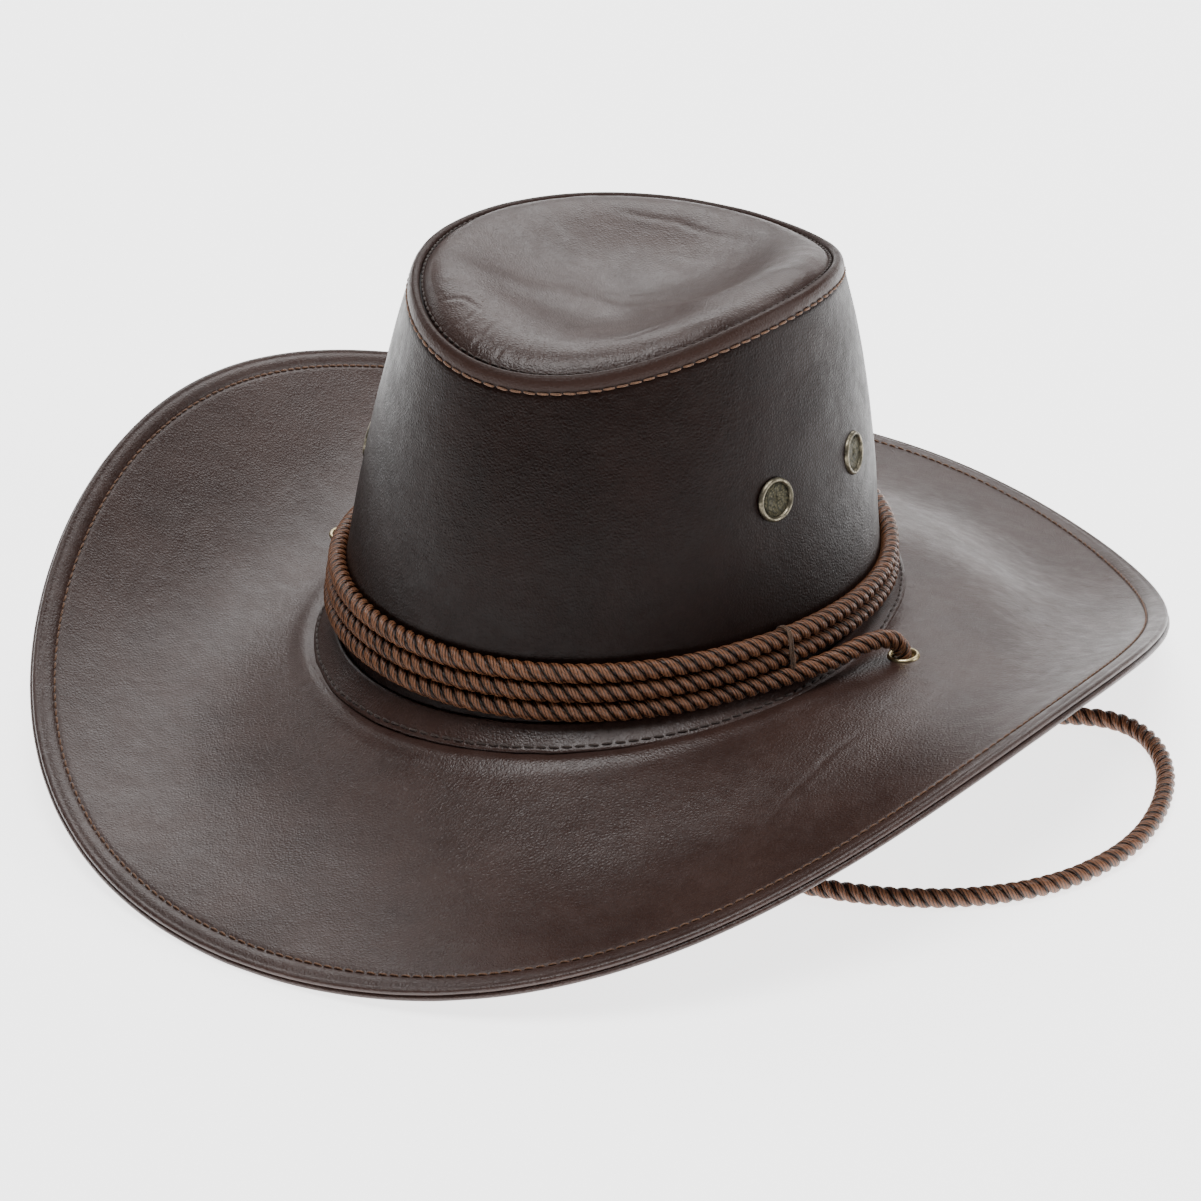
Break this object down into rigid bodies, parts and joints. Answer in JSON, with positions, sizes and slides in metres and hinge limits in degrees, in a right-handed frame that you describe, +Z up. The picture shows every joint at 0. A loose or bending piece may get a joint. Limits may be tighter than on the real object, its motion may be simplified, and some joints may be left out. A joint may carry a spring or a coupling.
{
  "type": "cowboy hat",
  "caption": "Wide-brimmed leathercloth cowboy hat with a dished tip, vented crown, twisted cord band and loose chin cord.",
  "frame": {"origin": "middle of the hat's footprint, on the surface that its brim rests on", "axes": "+Z up out of the crown, -Y towards the front of the hat, +X towards the wearer's left"},
  "size_m": [0.3647, 0.406, 0.1556],
  "materials": {
    "leathercloth": "semi-gloss dark brown leathercloth with a fine grain",
    "stiffening": "stiff non-woven interlining",
    "lining_cloth": "plain woven polyester lining",
    "foam": "thin soft foam",
    "spring_wire": "bright spring steel",
    "sweatband_leather": "matt dark sweatband",
    "golden_thread": "golden-brown polyester thread",
    "dark_thread": "dark brown polyester thread",
    "antique_brass": "antique brass with a dark patina",
    "vent_gauze": "dark woven wire gauze",
    "twisted_cord": "copper-brown satin cord of three twisted strands",
    "cord_thread": "brown sewing thread"
  },
  "bodies": {
    "root": {"crown_side": "leathercloth", "crown_side_stiffener": "stiffening", "crown_side_lining": "lining_cloth", "crown_tip": "leathercloth", "crown_tip_padding": "foam", "crown_tip_lining": "lining_cloth", "brim_top": "leathercloth", "brim_bottom": "leathercloth", "brim_stiffener": "stiffening", "brim_edge_wire": "spring_wire", "brim_wire_ferrule": "spring_wire", "base_strip": "leathercloth", "base_strip_stitching": "dark_thread", "sweatband": "sweatband_leather", "sweatband_stitching": "dark_thread", "crown_top_stitching": "golden_thread", "tip_seam_stitching": "dark_thread", "brim_edge_stitching": "golden_thread", "vent_eyelets": "antique_brass", "vent_screens": "vent_gauze", "vent_washers": "antique_brass", "cord_eyelet_left": "antique_brass", "cord_eyelet_right": "antique_brass", "eyelet_washer_left": "antique_brass", "eyelet_washer_right": "antique_brass", "hat_cord": "twisted_cord", "chin_cord": "twisted_cord", "cord_tack_left": "cord_thread", "cord_tack_back": "cord_thread"}
  },
  "joints": []
}
